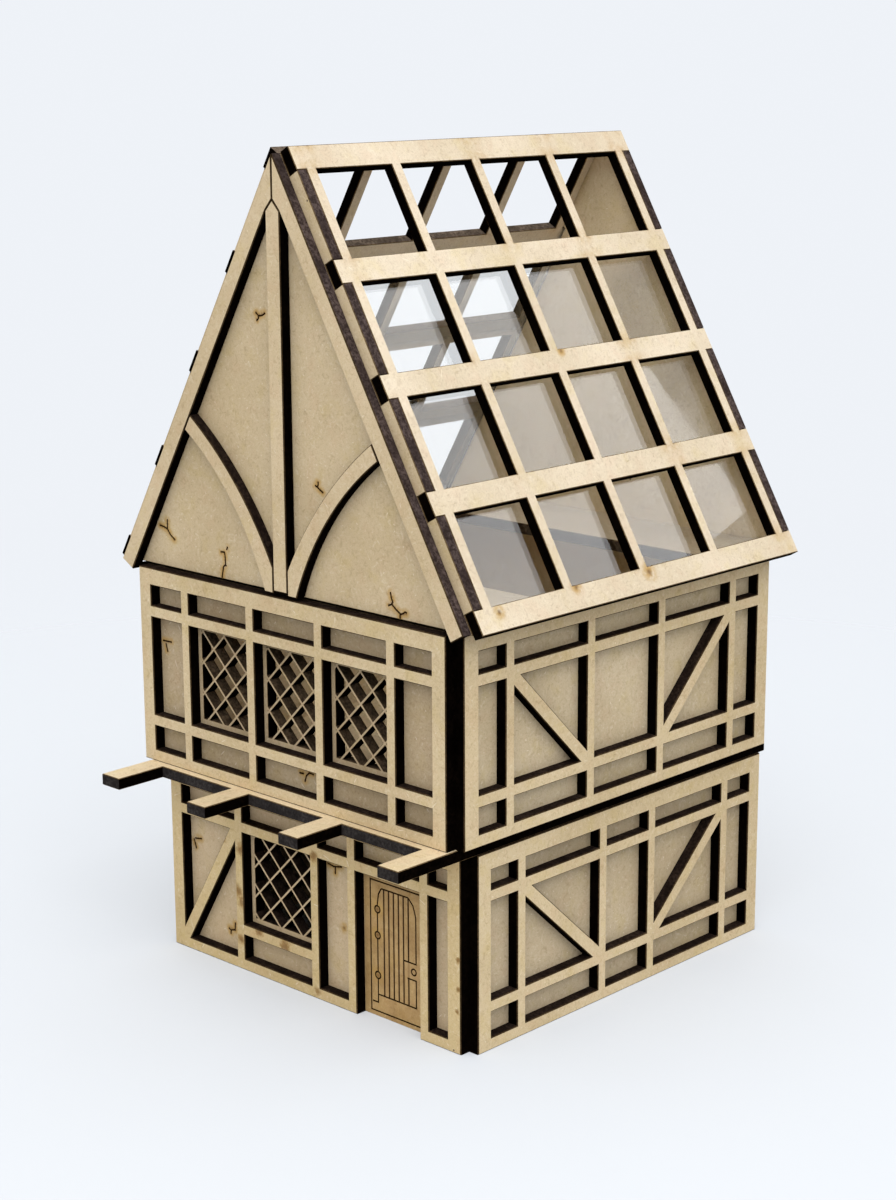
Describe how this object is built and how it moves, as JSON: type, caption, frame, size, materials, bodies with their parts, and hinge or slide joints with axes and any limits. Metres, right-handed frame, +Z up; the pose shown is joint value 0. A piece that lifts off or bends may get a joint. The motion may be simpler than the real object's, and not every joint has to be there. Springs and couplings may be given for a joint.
{
  "type": "half timbered house model",
  "caption": "Scale model of a half timbered house cut from thin sheet, with a jettied upper storey, leaded lights and a steep roof of open lattice over clear panes.",
  "frame": {"origin": "middle of the bounding box at floor level", "axes": "+X to the right along the front, +Y to the back so the door faces -Y, +Z up"},
  "size_m": [0.1283, 0.1428, 0.2122],
  "materials": {
    "wall_sheet": "matt fibreboard",
    "frame_sheet": "matt fibreboard",
    "floor_sheet": "matt fibreboard",
    "gable_sheet": "matt fibreboard",
    "timber_sheet": "matt fibreboard",
    "roof_sheet": "matt fibreboard",
    "clear_sheet": "clear gloss"
  },
  "bodies": {
    "root": {"ground_front_wall": "wall_sheet", "ground_front_frame": "frame_sheet", "ground_back_wall": "wall_sheet", "ground_back_frame": "frame_sheet", "ground_left_wall": "wall_sheet", "ground_left_frame": "frame_sheet", "ground_right_wall": "wall_sheet", "ground_right_frame": "frame_sheet", "upper_front_wall": "wall_sheet", "upper_front_frame": "frame_sheet", "upper_back_wall": "wall_sheet", "upper_back_frame": "frame_sheet", "upper_left_wall": "wall_sheet", "upper_left_frame": "frame_sheet", "upper_right_wall": "wall_sheet", "upper_right_frame": "frame_sheet", "jetty_floor": "floor_sheet", "attic_ring": "floor_sheet", "front_gable": "gable_sheet", "back_gable": "gable_sheet", "front_left_bargeboard": "timber_sheet", "front_right_bargeboard": "timber_sheet", "front_king_post": "timber_sheet", "front_left_brace": "timber_sheet", "front_right_brace": "timber_sheet", "back_left_bargeboard": "timber_sheet", "back_right_bargeboard": "timber_sheet", "back_king_post": "timber_sheet", "back_left_brace": "timber_sheet", "back_right_brace": "timber_sheet", "roof_lattice_left": "roof_sheet", "roof_lattice_right": "roof_sheet", "roof_glazing_left": "clear_sheet", "roof_glazing_right": "clear_sheet"}
  },
  "joints": []
}
